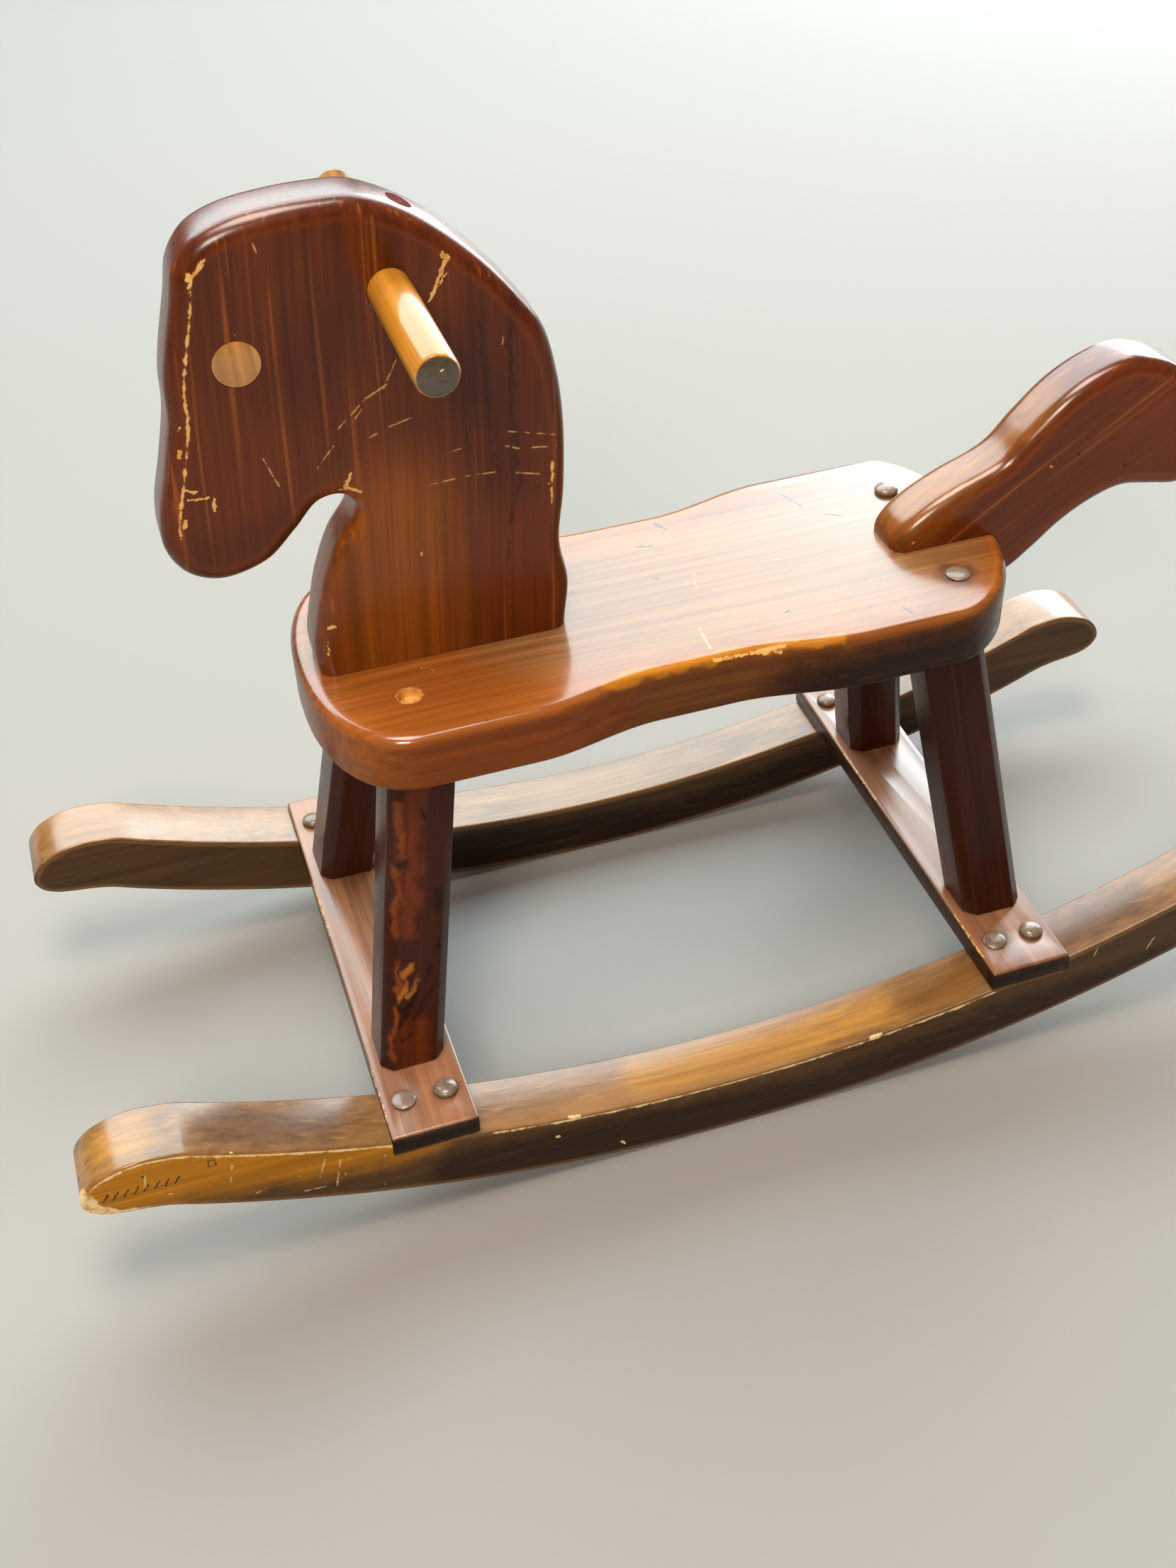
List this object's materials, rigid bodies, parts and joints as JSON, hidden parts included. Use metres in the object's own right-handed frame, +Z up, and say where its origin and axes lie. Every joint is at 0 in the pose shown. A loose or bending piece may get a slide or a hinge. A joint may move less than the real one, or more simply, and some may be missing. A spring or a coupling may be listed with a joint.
{
  "type": "rocking horse",
  "caption": "Wooden rocking horse for a small child: a waisted seat with head and tail boards, a handle through the head, splayed legs and arched rockers",
  "frame": {"origin": "on the floor, midway between the rockers' ends and between their outer faces", "axes": "+X towards the tail, so the horse faces -X; +Y to the horse's right; +Z up"},
  "size_m": [0.829, 0.331, 0.6031],
  "materials": {
    "seat_wood": "orange-brown stain under worn satin varnish",
    "board_wood": "red-brown stain under satin varnish",
    "leg_wood": "dark red-brown stain under satin varnish",
    "bar_wood": "brown stain under satin varnish",
    "rocker_wood": "brown stain under worn satin varnish",
    "dowel_wood": "clear satin varnish",
    "eye_wood": "clear satin varnish",
    "plug_wood": "greyed, half matt"
  },
  "bodies": {
    "root": {"seat": "seat_wood", "head_and_neck": "board_wood", "tail": "board_wood", "handle_dowel": "dowel_wood", "eye_dowel": "eye_wood", "mane_plug": "leg_wood", "leg_front_left": "leg_wood", "leg_front_right": "leg_wood", "leg_rear_left": "leg_wood", "leg_rear_right": "leg_wood", "crossbar_front": "bar_wood", "crossbar_rear": "bar_wood", "rocker_left": "rocker_wood", "rocker_right": "rocker_wood", "seat_button_front_right": "plug_wood", "seat_button_rear_left": "plug_wood", "seat_button_rear_right": "plug_wood", "bar_button_front_left_fore": "plug_wood", "bar_button_front_left_aft": "plug_wood", "bar_button_front_right_fore": "plug_wood", "bar_button_front_right_aft": "plug_wood", "bar_button_rear_left_fore": "plug_wood", "bar_button_rear_left_aft": "plug_wood", "bar_button_rear_right_fore": "plug_wood", "bar_button_rear_right_aft": "plug_wood"}
  },
  "joints": []
}
